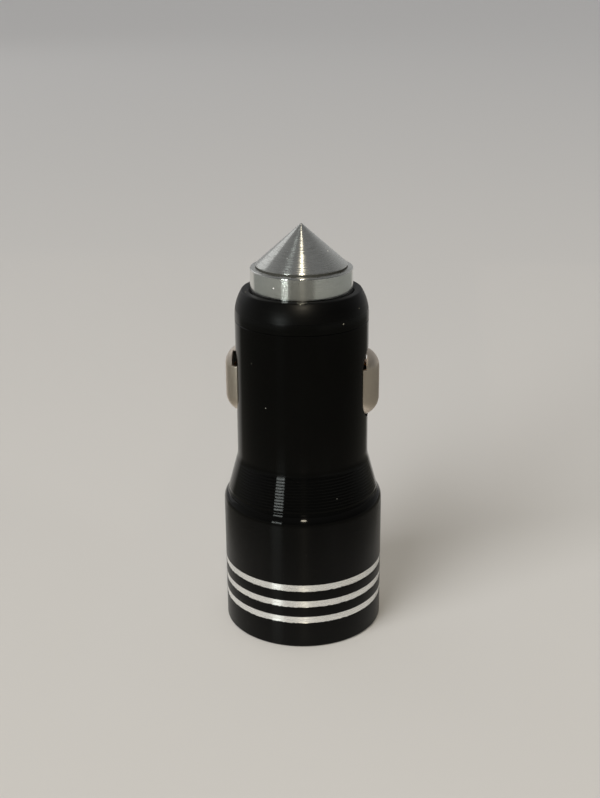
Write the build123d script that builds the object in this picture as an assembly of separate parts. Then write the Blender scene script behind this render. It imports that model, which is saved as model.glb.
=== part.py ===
from build123d import *
import os
from math import atan2, cos, hypot, sin, sqrt

# A plug-in USB charger for a vehicle's power socket, standing on its socket face.
# Millimetres. +Z runs up from the socket face to the tip, and the side contacts lie on +X and -X.

# Clearances
press_gap = 0.03
seat_gap = 0.05
slide_gap = 0.09
loose_gap = 0.15

# USB sockets, which set the size of the head
usb_width = 13.1
usb_height = 5.7
usb_depth = 14.0
usb_sheet = 0.3
usb_corner = 0.6
usb_inset = 0.3
usb_block_depth = 3.6
usb_latch_width = 2.0
usb_latch_length = 3.6
usb_latch_pitch = 6.0
tongue_width = 11.1
tongue_thickness = 1.84
tongue_offset = 0.75
tongue_recess = 1.6
contact_count = 4
contact_width = 1.0
contact_pitch = 2.3
contact_sheet = 0.2
contact_setback = 0.8
usb_room = 0.65

# Head of the shell
head_wall = 1.47
head_height = 20.7
rim_edge = 0.3
shoulder_width = 0.6
shoulder_rise = 1.3
neck_height = 6.25

# Bands cut round the head
band_count = 3
band_width = 1.1
band_pitch = 2.74
band_low = 4.85
band_depth = 0.12

# Barrel
barrel_diameter = 20.4
barrel_wall = 1.1
barrel_length = 21.75
seam_edge = 0.08

# Nose ring
ring_height = 4.6
ring_side = 0.7
ring_crown = 1.15
ring_crown_edge = 0.27
ring_bore_edge = 0.3
nose_wall = 2.35
lip_thickness = 2.4

# Tip, tip contact and tip spring
tip_stand = 3.35
tip_rim_edge = 0.2
tip_ledge = 0.15
cone_height = 6.6
tip_round = 0.22
tip_flange = 0.55
tip_flange_thickness = 1.2
tip_travel = 2.5
tip_stop_room = 0.65
spring_pocket_radius = 4.0
spring_pocket_depth = 6.0
spring_wire = 0.6
spring_turns = 4
contact_disc_radius = 3.4
contact_disc_thickness = 0.8
contact_boss_radius = 1.8
contact_boss_height = 1.4
contact_stem_radius = 1.2

# Side contacts and their springs
clip_drop = 9.85
clip_length = 10.95
clip_width = 6.2
clip_proud = 1.7
clip_sheet = 0.45
clip_hook = 0.7
clip_travel = 1.5
clip_window_height = 2.0
clip_window_rise = 3.9
clip_window_reach = 1.3
slot_corner = 2.6
slot_gap = 0.2
leaf_width = 2.0
leaf_sheet = 0.25
leaf_span = 8.0

# Carrier inside the shell
frame_wall = 1.0
bulkhead_thickness = 1.2
rail_width = 1.2
rail_height = 0.9

# Face plate and indicator
plate_recess = 0.6
plate_thickness = 2.0
plate_ledge = 0.4
plate_edge = 0.3
plate_post = 0.8
lens_radius = 1.0
lens_flange = 0.3
lens_margin = 2.0
led_width = 1.2
led_height = 0.8
led_depth = 0.8

# Circuit board and what is soldered to it
board_thickness = 1.6
board_setback = 1.4
board_edge_gap = 0.7
board_top_gap = 1.1
capacitor_diameter = 5.0
input_capacitor_length = 10.0
output_capacitor_length = 8.0
capacitor_setback = 2.5
choke_radius = 3.2
choke_height = 4.0
choke_flange = 0.7
choke_waist = 1.5
chip_length = 4.9
chip_width = 3.9
chip_height = 1.5
chip_lead_count = 4
chip_lead_pitch = 1.27
chip_lead_width = 0.45
chip_lead_reach = 1.05
chip_lead_sheet = 0.2
diode_size = (4.3, 2.2, 2.6)
fuse_size = (3.2, 1.1, 1.6)
small_chip_size = (0.8, 0.45, 1.6)
small_chip_gap = 1.05
small_chip_pitch = 2.6
resistor_rows = 3
chip_capacitor_rows = 2

# Levels along the axis
plate_front = plate_recess
plate_back = plate_recess + plate_thickness
shoulder_top = head_height + shoulder_rise
neck_top = shoulder_top + neck_height
barrel_top = neck_top + barrel_length
ring_top = barrel_top + ring_height
lip_level = ring_top - lip_thickness
tip_flange_top = lip_level - seat_gap
tip_bottom = tip_flange_top - tip_flange_thickness
tip_rim = ring_top + tip_stand
spigot_end = tip_bottom - tip_travel - tip_stop_room
bulkhead_top = spigot_end
bulkhead_bottom = bulkhead_top - bulkhead_thickness
contact_disc_top = bulkhead_top + contact_disc_thickness
spring_top = tip_bottom + spring_pocket_depth
clip_level = barrel_top - clip_drop
frame_step = head_height - seat_gap - frame_wall
usb_front = plate_front + usb_inset
usb_rear = usb_front + usb_depth
board_front = plate_back + board_setback
board_top = bulkhead_bottom - board_top_gap

# Radii and half widths
board_face = board_thickness / 2
usb_reach = hypot(usb_width / 2, board_face + usb_height)
liner_inside = usb_reach + usb_room
liner_outside = liner_inside + frame_wall
head_bore = liner_outside + loose_gap
head_radius = head_bore + head_wall
plate_seat = head_bore + plate_ledge
shoulder_radius = head_radius - shoulder_width
barrel_radius = barrel_diameter / 2
barrel_bore = barrel_radius - barrel_wall
frame_outside = barrel_bore - loose_gap
frame_inside = frame_outside - frame_wall
ring_radius = barrel_radius
ring_land = ring_radius - ring_crown
ring_bore = ring_radius - nose_wall
spigot_radius = barrel_bore - press_gap
tip_radius = ring_bore - slide_gap
tip_flange_radius = tip_radius + tip_flange
spigot_bore = tip_flange_radius + slide_gap
cone_radius = tip_radius - tip_rim_edge - tip_ledge
clip_face = barrel_radius + clip_proud
clip_round = clip_width / 2
clip_middle = clip_face - clip_round
clip_hook_face = sqrt(barrel_bore**2 - clip_round**2) - slide_gap
clip_back = clip_hook_face - clip_sheet
slot_length = clip_length + 2 * slot_gap
slot_width = clip_width + 2 * slot_gap
board_half = clip_back - clip_travel - 2 * loose_gap
board_head_half = liner_inside - board_edge_gap
small_chip_offset = board_half - rail_width - small_chip_gap - small_chip_size[0] / 2
board_step = frame_step - loose_gap
lens_place = usb_width / 2 + lens_margin
spring_radius = (spring_pocket_radius + contact_boss_radius) / 2


def turn(outline):
    # A solid of revolution from a closed outline of radius and height.
    return revolve(Plane.XZ * make_face(outline), Axis.Z)


def outer_shell():
    outside = Polyline(
        (plate_seat, 0),
        (head_radius - rim_edge, 0),
        (head_radius, rim_edge),
        (head_radius, head_height),
    )
    shoulder = TangentArc(
        (head_radius, head_height), (shoulder_radius, shoulder_top), tangent=(0, 1)
    )
    rest = Polyline(
        (shoulder_radius, shoulder_top),
        (barrel_radius, neck_top),
        (barrel_radius, barrel_top - seam_edge),
        (barrel_radius - seam_edge, barrel_top),
        (barrel_bore, barrel_top),
        (barrel_bore, head_height),
        (head_bore, head_height),
        (head_bore, plate_back),
        (plate_seat, plate_back),
        (plate_seat, 0),
    )
    shell = turn(Curve() + [outside, shoulder, rest])
    for row in range(band_count):
        band = Cylinder(head_radius + rim_edge, band_width)
        band -= Cylinder(head_radius - band_depth, band_width)
        shell -= Pos(0, 0, band_low + row * band_pitch) * band
    slot = Box(clip_face - clip_back, slot_width, slot_length)
    slot = fillet(slot.edges().filter_by(Axis.X), slot_corner)
    for side in (-1, 1):
        shell -= Pos(side * (clip_face + clip_back) / 2, 0, clip_level) * slot
    return shell


def nose_ring():
    side = Polyline(
        (ring_radius - seam_edge, barrel_top),
        (ring_radius, barrel_top + seam_edge),
        (ring_radius, barrel_top + ring_side),
    )
    crown = TangentArc((ring_radius, barrel_top + ring_side), (ring_land, ring_top), tangent=(0, 1))
    inside = Polyline(
        (ring_land, ring_top),
        (ring_bore + ring_bore_edge, ring_top),
        (ring_bore, ring_top - ring_bore_edge),
        (ring_bore, lip_level),
        (spigot_bore, lip_level),
        (spigot_bore, spigot_end),
        (spigot_radius, spigot_end),
        (spigot_radius, barrel_top),
        (ring_radius - seam_edge, barrel_top),
    )
    face = make_face(Curve() + [side, crown, inside])
    corner = face.vertices().sort_by_distance((ring_land, ring_top, 0))[0]
    face = chamfer(corner, ring_crown_edge)
    return revolve(Plane.XZ * face, Axis.Z)


def hammer_tip():
    slope = atan2(cone_radius, cone_height)
    sharp_top = tip_rim + cone_height
    ball_middle = sharp_top - tip_round / sin(slope)
    touch = (tip_round * cos(slope), ball_middle + tip_round * sin(slope))
    outside = Polyline(
        (spring_pocket_radius, tip_bottom),
        (tip_flange_radius, tip_bottom),
        (tip_flange_radius, tip_flange_top),
        (tip_radius, tip_flange_top),
        (tip_radius, tip_rim - tip_rim_edge),
        (tip_radius - tip_rim_edge, tip_rim),
        (cone_radius, tip_rim),
        touch,
    )
    point = TangentArc(touch, (0, ball_middle + tip_round), tangent=(-cone_radius, cone_height))
    pocket = Polyline(
        (0, ball_middle + tip_round),
        (0, spring_top),
        (spring_pocket_radius, spring_top),
        (spring_pocket_radius, tip_bottom),
    )
    return turn(Curve() + [outside, point, pocket])


def tip_spring():
    low = contact_disc_top + spring_wire / 2 + seat_gap
    height = spring_top - spring_wire / 2 - seat_gap - low
    path = Pos(0, 0, low) * Helix(height / spring_turns, height, spring_radius)
    # Six flats stand in for the round wire, which would be most of the model's facets.
    section = Plane(path @ 0, z_dir=path % 0) * RegularPolygon(spring_wire / 2, 6)
    return sweep(section, path=path, is_frenet=True)


def tip_contact():
    outline = Polyline(
        (0, board_top),
        (contact_stem_radius, board_top),
        (contact_stem_radius, bulkhead_top),
        (contact_disc_radius, bulkhead_top),
        (contact_disc_radius, contact_disc_top),
        (contact_boss_radius, contact_disc_top),
        (contact_boss_radius, contact_disc_top + contact_boss_height),
        (0, contact_disc_top + contact_boss_height),
        close=True,
    )
    return turn(outline)


def obround(back, front, longer, inset):
    # A prism along X with the side contact's outline, between two places on its way out.
    outline = SlotCenterToCenter(clip_length - clip_width + longer, clip_width - 2 * inset, rotation=90)
    return extrude(Plane.YZ.offset(back) * (Pos(0, clip_level) * outline), front - back)


def clip_form(back, inset):
    # Straight walls up to the middle of the rounding, then a dome like half a capsule.
    radius = clip_round - inset
    end = clip_length / 2 - clip_round
    low = CenterArc((0, -end), radius, -90, 90)
    side = Line((radius, -end), (radius, end))
    top = CenterArc((0, end), radius, 0, 90)
    spine = Line((0, end + radius), (0, -end - radius))
    capsule = Pos(clip_middle, 0, clip_level) * turn(Curve() + [low, side, top, spine])
    front = Box(clip_face, clip_length, clip_length, align=(Align.MIN, Align.CENTER, Align.CENTER))
    dome = capsule & (Pos(clip_middle, 0, clip_level) * front)
    return dome + obround(back, clip_middle, 0, inset)


def ground_clip():
    pan = clip_form(clip_back, 0) - clip_form(clip_back - clip_sheet, clip_sheet)
    rim = obround(clip_back, clip_hook_face, 2 * clip_hook, 0)
    pan += rim - obround(clip_back - clip_sheet, clip_face, 0, clip_sheet)
    window = Box(2 * clip_window_reach, clip_width, clip_window_height)
    return pan - Pos(clip_middle, 0, clip_level + clip_window_rise) * window


def ground_spring():
    crown = clip_middle + sqrt((clip_round - clip_sheet) ** 2 - (leaf_width / 2) ** 2) - seat_gap
    rise = crown - board_half - seat_gap
    radius = (rise**2 + (leaf_span / 2) ** 2) / (2 * rise)
    leaf = Circle(radius) - Circle(radius - leaf_sheet)
    leaf = Pos(crown - radius, clip_level) * leaf
    room = Pos(crown - rise / 2, clip_level) * Rectangle(rise, 4 * radius)
    return extrude(Plane.XZ * (leaf & room), leaf_width / 2, both=True)


def core_frame():
    outline = Polyline(
        (liner_inside, plate_back),
        (liner_outside, plate_back),
        (liner_outside, frame_step + frame_wall),
        (frame_outside, frame_step + frame_wall),
        (frame_outside, bulkhead_top),
        (contact_stem_radius + seat_gap, bulkhead_top),
        (contact_stem_radius + seat_gap, bulkhead_bottom),
        (frame_inside, bulkhead_bottom),
        (frame_inside, frame_step),
        (liner_inside, frame_step),
        close=True,
    )
    frame = turn(outline)
    window_bottom = clip_level - clip_length / 2 - 2 * clip_hook
    window_length = bulkhead_bottom - window_bottom
    window = Box(frame_outside, clip_width + 4 * loose_gap, window_length)
    rail_top = sqrt((frame_inside + frame_wall / 2) ** 2 - board_half**2)
    rail_bottom = board_face + seat_gap
    rail = Box(rail_width, rail_top - rail_bottom, bulkhead_bottom - neck_top)
    head_rail_reach = liner_inside + frame_wall / 2 - board_head_half + rail_width
    head_rail_length = frame_step - usb_rear
    head_rail = Box(head_rail_reach, rail_height, head_rail_length)
    for side in (-1, 1):
        window_middle = board_half + frame_outside / 2
        frame -= Pos(side * window_middle, 0, window_bottom + window_length / 2) * window
    for side in (-1, 1):
        for face in (-1, 1):
            frame += Pos(
                side * (board_half - rail_width / 2),
                face * (rail_bottom + rail_top) / 2,
                (neck_top + bulkhead_bottom) / 2,
            ) * rail
            frame += Pos(
                side * (liner_inside + frame_wall / 2 - head_rail_reach / 2),
                face * (rail_bottom + rail_height / 2),
                usb_rear + head_rail_length / 2,
            ) * head_rail
    return frame


def circuit_board():
    outline = Polyline(
        (-board_head_half, board_front),
        (board_head_half, board_front),
        (board_head_half, board_step),
        (board_half - seat_gap, board_step),
        (board_half - seat_gap, board_top),
        (-board_half + seat_gap, board_top),
        (-board_half + seat_gap, board_step),
        (-board_head_half, board_step),
        close=True,
    )
    return extrude(Plane.XZ * make_face(outline), board_face, both=True)


def socket_block(width, height, low, high, corner):
    # A block with rounded corners along the socket's axis, centred on the front socket.
    block = Box(width, height, high - low)
    if corner > 0:
        block = fillet(block.edges().filter_by(Axis.Z), corner)
    return Pos(0, -board_face - usb_height / 2, (low + high) / 2) * block


def usb_shell():
    inside_width = usb_width - 2 * usb_sheet
    inside_height = usb_height - 2 * usb_sheet
    shell = socket_block(usb_width, usb_height, usb_front, usb_rear, usb_corner)
    shell -= socket_block(
        inside_width, inside_height, usb_front - usb_sheet, usb_rear - usb_sheet, usb_corner - usb_sheet
    )
    latch = Box(usb_latch_width, 2 * usb_sheet, usb_latch_length)
    latch_level = usb_front + tongue_recess + usb_latch_length
    for side in (-1, 1):
        shell -= Pos(side * usb_latch_pitch / 2, -board_face - usb_height, latch_level) * latch
    tail_slot = Box(inside_width - usb_corner, 4 * usb_sheet, usb_block_depth / 2)
    tail_level = usb_rear - usb_sheet - usb_block_depth / 4
    return shell - Pos(0, -board_face, tail_level) * tail_slot


def usb_contacts():
    # Each strip lies in the tongue's face and turns down to the board behind it.
    tongue_face = board_face + usb_height / 2 + tongue_offset - tongue_thickness / 2
    strip_low = usb_front + tongue_recess + contact_setback
    strip_high = usb_rear - usb_sheet - usb_block_depth / 4
    strip = Box(contact_width, contact_sheet, strip_high - strip_low)
    tail = Box(contact_width, tongue_face - board_face + contact_sheet, contact_sheet)
    pieces = []
    for number in range(contact_count):
        across = (number - (contact_count - 1) / 2) * contact_pitch
        middle = -(tongue_face + contact_sheet / 2)
        piece = Pos(across, middle, (strip_low + strip_high) / 2) * strip
        tail_middle = -(board_face + tongue_face + contact_sheet) / 2
        piece += Pos(across, tail_middle, strip_high - contact_sheet / 2) * tail
        pieces.append(piece)
    return pieces


def usb_insulator():
    block_low = usb_rear - usb_sheet - usb_block_depth
    inside_width = usb_width - 2 * (usb_sheet + seat_gap)
    inside_height = usb_height - 2 * (usb_sheet + seat_gap)
    body = socket_block(inside_width, inside_height, block_low, usb_rear - usb_sheet, 0)
    body = chamfer(body.edges().filter_by(Axis.Z), usb_corner - usb_sheet)
    tongue = socket_block(tongue_width, tongue_thickness, usb_front + tongue_recess, block_low, 0)
    body += Pos(0, -tongue_offset, 0) * tongue
    for piece in usb_contacts():
        body -= piece
    return body


def face_plate():
    plate = Cylinder(plate_seat - seat_gap, plate_thickness, align=(Align.CENTER, Align.CENTER, Align.MIN))
    plate = Pos(0, 0, plate_front) * plate
    plate = chamfer(plate.edges().group_by(Axis.Z)[0], plate_edge)
    window = socket_block(
        usb_width + 2 * seat_gap,
        usb_height + 2 * seat_gap,
        plate_front - plate_edge,
        plate_back + plate_edge,
        usb_corner,
    )
    plate -= window
    plate -= Rot(0, 0, 180) * window
    lens_hole = Cylinder(lens_radius + seat_gap, 4 * plate_thickness)
    plate -= Pos(lens_place, 0, plate_front) * lens_hole
    post = Box(plate_post, board_thickness, board_setback)
    post_place = usb_width / 2 - plate_post
    for side in (-1, 1):
        plate += Pos(side * post_place, 0, plate_back + board_setback / 2) * post
    return plate


def indicator_lens():
    outline = Polyline(
        (0, plate_front),
        (lens_radius, plate_front),
        (lens_radius, plate_back),
        (lens_radius + lens_flange, plate_back),
        (lens_radius + lens_flange, plate_back + lens_flange),
        (0, plate_back + lens_flange),
        close=True,
    )
    return Pos(lens_place, 0, 0) * turn(outline)


def indicator_led():
    led = Box(led_width, led_height, led_depth)
    return Pos(lens_place, 0, board_front - led_depth / 2) * led


def lying_capacitor(length, level):
    # A can on its side.
    radius = capacitor_diameter / 2
    can = Cylinder(radius, length, align=(Align.CENTER, Align.CENTER, Align.MIN))
    return Pos(0, -board_face - radius - press_gap, level) * can


def input_capacitor():
    return lying_capacitor(input_capacitor_length, board_top - capacitor_setback - input_capacitor_length)


def output_capacitor():
    level = board_top - capacitor_setback - output_capacitor_length
    return Rot(0, 0, 180) * lying_capacitor(output_capacitor_length, level)


def choke_place(solid):
    # The choke's axis stands square to the front of the board, above the neck.
    return Pos(0, -board_face, neck_top - choke_radius) * (Rot(90, 0, 0) * solid)


def choke_core():
    waist = choke_radius - choke_waist
    outline = Polyline(
        (0, 0),
        (choke_radius, 0),
        (choke_radius, choke_flange),
        (waist, choke_flange),
        (waist, choke_height - choke_flange),
        (choke_radius, choke_height - choke_flange),
        (choke_radius, choke_height),
        (0, choke_height),
        close=True,
    )
    return choke_place(turn(outline))


def choke_winding():
    height = choke_height - 2 * choke_flange
    winding = Cylinder(choke_radius - choke_flange / 2, height)
    winding -= Cylinder(choke_radius - choke_waist + press_gap, height)
    return choke_place(Pos(0, 0, choke_height / 2) * winding)


def regulator_level():
    return neck_top - chip_length / 2


def regulator_chip():
    chip = Box(chip_width, chip_height, chip_length)
    return Pos(0, board_face + chip_lead_sheet + chip_height / 2, regulator_level()) * chip


def regulator_leads():
    rise = chip_height / 2
    foot = Box(chip_lead_reach / 2, chip_lead_sheet, chip_lead_width)
    leg = Box(chip_lead_sheet, rise, chip_lead_width)
    arm = Box(chip_lead_reach / 2 + chip_lead_sheet, chip_lead_sheet, chip_lead_width)
    knee = chip_width / 2 + chip_lead_reach / 2
    leads = []
    for row in range(chip_lead_count):
        level = regulator_level() + (row - (chip_lead_count - 1) / 2) * chip_lead_pitch
        lead = Pos(knee + chip_lead_reach / 4, board_face + chip_lead_sheet / 2, level) * foot
        lead += Pos(knee + chip_lead_sheet / 2, board_face + rise / 2, level) * leg
        arm_middle = chip_width / 2 + chip_lead_reach / 4 + chip_lead_sheet / 2
        lead += Pos(arm_middle, board_face + rise - chip_lead_sheet / 2, level) * arm
        leads.append(lead)
        leads.append(mirror(lead, Plane.YZ))
    return leads


def behind_sockets(size, face):
    # A block soldered to one face of the board, between the sockets and the neck.
    level = (usb_rear + board_step) / 2
    return Pos(0, face * (board_face + size[1] / 2), level) * Box(*size)


def small_chips(rows, face):
    chips = []
    for row in range(rows):
        level = board_top - capacitor_setback - small_chip_size[2] - row * small_chip_pitch
        for side in (-1, 1):
            place = Pos(side * small_chip_offset, face * (board_face + small_chip_size[1] / 2), level)
            chips.append(place * Box(*small_chip_size))
    return chips


def turned_about(solids):
    return [Rot(0, 0, 180) * solid for solid in solids]


nodes = {
    "outer_shell": outer_shell(),
    "nose_ring": nose_ring(),
    "hammer_tip": hammer_tip(),
    "tip_spring": tip_spring(),
    "tip_contact": tip_contact(),
    "ground_clip_right": ground_clip(),
    "ground_clip_left": Rot(0, 0, 180) * ground_clip(),
    "ground_spring_right": ground_spring(),
    "ground_spring_left": Rot(0, 0, 180) * ground_spring(),
    "core_frame": core_frame(),
    "circuit_board": circuit_board(),
    "usb_shell_front": usb_shell(),
    "usb_shell_rear": Rot(0, 0, 180) * usb_shell(),
    "usb_insulator_front": usb_insulator(),
    "usb_insulator_rear": Rot(0, 0, 180) * usb_insulator(),
    "usb_contacts_front": usb_contacts(),
    "usb_contacts_rear": turned_about(usb_contacts()),
    "face_plate": face_plate(),
    "indicator_lens": indicator_lens(),
    "indicator_led": indicator_led(),
    "input_capacitor": input_capacitor(),
    "output_capacitor": output_capacitor(),
    "choke_core": choke_core(),
    "choke_winding": choke_winding(),
    "regulator_chip": regulator_chip(),
    "regulator_leads": regulator_leads(),
    "rectifier_diode": behind_sockets(diode_size, 1),
    "input_fuse": behind_sockets(fuse_size, -1),
    "chip_resistors": small_chips(resistor_rows, 1),
    "chip_capacitors": small_chips(chip_capacitor_rows, -1),
}

os.makedirs("parts", exist_ok=True)
for name, shape in nodes.items():
    solid = Compound(children=shape) if isinstance(shape, list) else shape
    export_step(solid, f"parts/{name}.step")
print(f"head diameter {2 * head_radius:.2f}, overall height {tip_rim + cone_height:.2f}")
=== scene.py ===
import math
import bpy
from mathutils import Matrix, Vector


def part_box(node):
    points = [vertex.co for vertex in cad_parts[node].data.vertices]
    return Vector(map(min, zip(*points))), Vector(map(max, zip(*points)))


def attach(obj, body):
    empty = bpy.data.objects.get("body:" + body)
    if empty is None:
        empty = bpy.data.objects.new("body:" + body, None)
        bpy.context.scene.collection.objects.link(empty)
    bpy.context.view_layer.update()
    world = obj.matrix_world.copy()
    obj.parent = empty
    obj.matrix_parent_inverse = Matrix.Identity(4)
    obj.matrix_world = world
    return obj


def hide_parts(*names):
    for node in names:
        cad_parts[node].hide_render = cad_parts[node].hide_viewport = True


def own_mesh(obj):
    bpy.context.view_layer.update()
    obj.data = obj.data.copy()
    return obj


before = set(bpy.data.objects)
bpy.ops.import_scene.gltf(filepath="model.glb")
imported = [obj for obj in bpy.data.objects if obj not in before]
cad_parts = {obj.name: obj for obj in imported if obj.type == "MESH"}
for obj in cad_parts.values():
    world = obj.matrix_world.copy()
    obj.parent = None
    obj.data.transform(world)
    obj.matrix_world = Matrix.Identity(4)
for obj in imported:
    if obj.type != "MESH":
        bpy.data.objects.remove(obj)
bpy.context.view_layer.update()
mm = 0.001
print("frame loaded,", len(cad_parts), "nodes")


def inMm(corner):
    return [value / mm for value in corner]


# The pieces' own sizes, here and in their dictionaries, are in millimetres
shellHigh = inMm(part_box("outer_shell")[1])
ringLow, ringHigh = map(inMm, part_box("nose_ring"))
tipLow, tipHigh = map(inMm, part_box("hammer_tip"))
clipLow, clipHigh = map(inMm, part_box("ground_clip_right"))
coilLow, coilHigh = map(inMm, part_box("tip_spring"))


# Mesh helpers

def endPiece(piece, body, slot, *nodes):
    # Puts a finished mesh on its body in place of the plain solid
    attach(piece, body)
    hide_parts(*nodes)
    return piece


def softOutline(corners, steps=4, mostOfSide=0.45):
    # Corners are (radius, height, rounding). Each rounding becomes a small curve, over no more than this
    # share of a side
    points = []
    for number, (radius, height, rounding) in enumerate(corners):
        if not rounding:
            points.append((radius, height))
            continue
        sides = []
        for other in (corners[number - 1], corners[(number + 1) % len(corners)]):
            run = math.hypot(other[0] - radius, other[1] - height)
            share = min(rounding, run * mostOfSide) / run
            sides.append((radius + (other[0] - radius) * share, height + (other[1] - height) * share))
        for step in range(steps + 1):
            t = step / steps
            weights = ((1 - t) ** 2, 2 * t * (1 - t), t**2)
            curve = (sides[0], (radius, height), sides[1])
            points.append(tuple(sum(w * p[axis] for w, p in zip(weights, curve)) for axis in (0, 1)))
    return points


def leanIn(radius, foot, inward, rise, steps):
    # An arc that leaves the side of a cylinder straight upwards and leans in towards the axis
    sweep = (inward**2 + rise**2) / (2 * inward)
    turn = math.asin(rise / sweep)
    points = []
    for step in range(steps + 1):
        angle = turn * step / steps
        points.append((radius - sweep * (1 - math.cos(angle)), foot + sweep * math.sin(angle)))
    return points


def turnPiece(name, outline, around, closed):
    # One ring of points is drawn out from each outline point to the next, as on a lathe
    bpy.ops.object.select_all(action="DESELECT")
    radius, height = outline[0]
    bpy.ops.mesh.primitive_circle_add(
        vertices=around,
        radius=radius * mm,
        fill_type="NOTHING" if closed else "NGON",
        location=(0, 0, height * mm),
    )
    piece = bpy.context.object
    piece.name = name
    bpy.ops.object.transform_apply(location=True, rotation=True, scale=True)
    bpy.ops.object.mode_set(mode="EDIT")
    bpy.ops.mesh.select_mode(type="EDGE")
    bpy.ops.mesh.select_all(action="SELECT")
    for nextRadius, nextHeight in outline[1:]:
        rise = (nextHeight - height) * mm
        bpy.ops.mesh.extrude_edges_move(TRANSFORM_OT_translate={"value": (0, 0, rise)})
        wider = nextRadius / radius
        bpy.ops.transform.resize(value=(wider, wider, 1), center_override=(0, 0, nextHeight * mm))
        radius, height = nextRadius, nextHeight
    if closed:
        bpy.ops.mesh.select_all(action="DESELECT")
        bpy.ops.mesh.select_non_manifold()
        bpy.ops.mesh.bridge_edge_loops()
    else:
        bpy.ops.mesh.merge(type="CENTER")
    bpy.ops.mesh.select_all(action="SELECT")
    bpy.ops.mesh.normals_make_consistent(inside=False)
    bpy.ops.object.mode_set(mode="OBJECT")
    return piece


def pickOnly(piece):
    bpy.ops.object.select_all(action="DESELECT")
    bpy.context.view_layer.objects.active = piece
    piece.select_set(True)


def addBlock(place, size):
    # A block to cut with, by its middle and its size
    bpy.ops.object.select_all(action="DESELECT")
    bpy.ops.mesh.primitive_cube_add(size=1, location=[value * mm for value in place])
    block = bpy.context.object
    block.scale = [value * mm for value in size]
    bpy.ops.object.transform_apply(location=True, rotation=True, scale=True)
    return block


def cutAway(piece, block):
    cut = piece.modifiers.new("cut", "BOOLEAN")
    cut.object = block
    cut.solver = "EXACT"


def roundEdges(piece, rounding, steps, sharp):
    # Rounds the edges where faces meet at more than this many degrees
    bevel = piece.modifiers.new("edges", "BEVEL")
    bevel.width = rounding * mm
    bevel.segments = steps
    bevel.limit_method = "ANGLE"
    bevel.angle_limit = math.radians(sharp)


def applyAll(piece):
    pickOnly(piece)
    for modifier in list(piece.modifiers):
        bpy.ops.object.modifier_apply(modifier=modifier.name)


def smoothPiece(piece, degrees=30):
    pickOnly(piece)
    bpy.ops.object.shade_smooth_by_angle(angle=math.radians(degrees))


# The weld is in millimetres and the rest in degrees
softened = {"weld": 0.002, "flat": 1, "sharp": 40, "smooth": 35}


def softCopy(node, name, rounding, steps=2):
    # A copy of a plain solid, merged and with its sharp edges rounded off
    piece = bpy.data.objects.new(name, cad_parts[node].data.copy())
    bpy.context.scene.collection.objects.link(piece)
    piece.data.materials.clear()
    pickOnly(piece)
    if piece.data.has_custom_normals:
        bpy.ops.mesh.customdata_custom_splitnormals_clear()
    bpy.ops.object.mode_set(mode="EDIT")
    bpy.ops.mesh.select_all(action="SELECT")
    bpy.ops.mesh.remove_doubles(threshold=softened["weld"] * mm)
    bpy.ops.mesh.dissolve_limited(angle_limit=math.radians(softened["flat"]))
    bpy.ops.object.mode_set(mode="OBJECT")
    roundEdges(piece, rounding, steps, softened["sharp"])
    applyAll(piece)
    smoothPiece(piece, softened["smooth"])
    return piece


# Black shell, one turned piece: head with three bright bands, shoulder, grooved neck and barrel

shell = {
    "around": 192,
    "rimEdge": 0.3,
    "plateSeat": 11.43,
    "plateBack": 2.6,
    "headBore": 11.03,
    "barrelBore": 9.1,
    "headHeight": 20.7,
    "shoulderTop": 22.0,
    "shoulderWidth": 0.6,
    "neckTop": 28.25,
    "neckSweep": 0.6,
    "arcSteps": 10,
    "bandCount": 3,
    "bandLow": 4.85,
    "bandPitch": 2.74,
    "bandWidth": 1.1,
    "bandDepth": 0.05,
    "groovePitch": 0.45,
    "grooveDepth": 0.016,
    "grooveSteps": 8,
    "grooveFrom": 22.9,
    "reliefLow": 22.15,
    "reliefDepth": 0.06,
    "edge": 0.06,
    "seamEdge": 0.08,
    "slotLength": 11.2,
    "slotWidth": 6.6,
    "slotCorner": 3.25,
    "slotSteps": 14,
}
headRadius = shellHigh[0]
barrelRadius = ringHigh[0]
barrelTop = shellHigh[2]
shoulderRadius = headRadius - shell["shoulderWidth"]
bandFloor = headRadius - shell["bandDepth"]
clipLevel = (clipLow[2] + clipHigh[2]) / 2


def headOutline():
    # From the barrel's bore down inside the head, round its rim, up over the bands and in over the shoulder
    edge = shell["edge"]
    corners = [
        (shell["barrelBore"], shell["headHeight"], 0),
        (shell["headBore"], shell["headHeight"], 0),
        (shell["headBore"], shell["plateBack"], 0),
        (shell["plateSeat"], shell["plateBack"], 0),
        (shell["plateSeat"], 0, edge),
        (headRadius - shell["rimEdge"], 0, edge),
        (headRadius, shell["rimEdge"], edge),
    ]
    for row in range(shell["bandCount"]):
        middle = shell["bandLow"] + row * shell["bandPitch"]
        low = middle - shell["bandWidth"] / 2
        high = middle + shell["bandWidth"] / 2
        corners += [(headRadius, low, edge / 2), (bandFloor, low, 0)]
        corners += [(bandFloor, high, 0), (headRadius, high, edge / 2)]
    corners.append((headRadius, shell["headHeight"], 0))
    rise = shell["shoulderTop"] - shell["headHeight"]
    shoulder = leanIn(headRadius, shell["headHeight"], shell["shoulderWidth"], rise, shell["arcSteps"])
    return softOutline(corners) + shoulder[1:]


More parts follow.
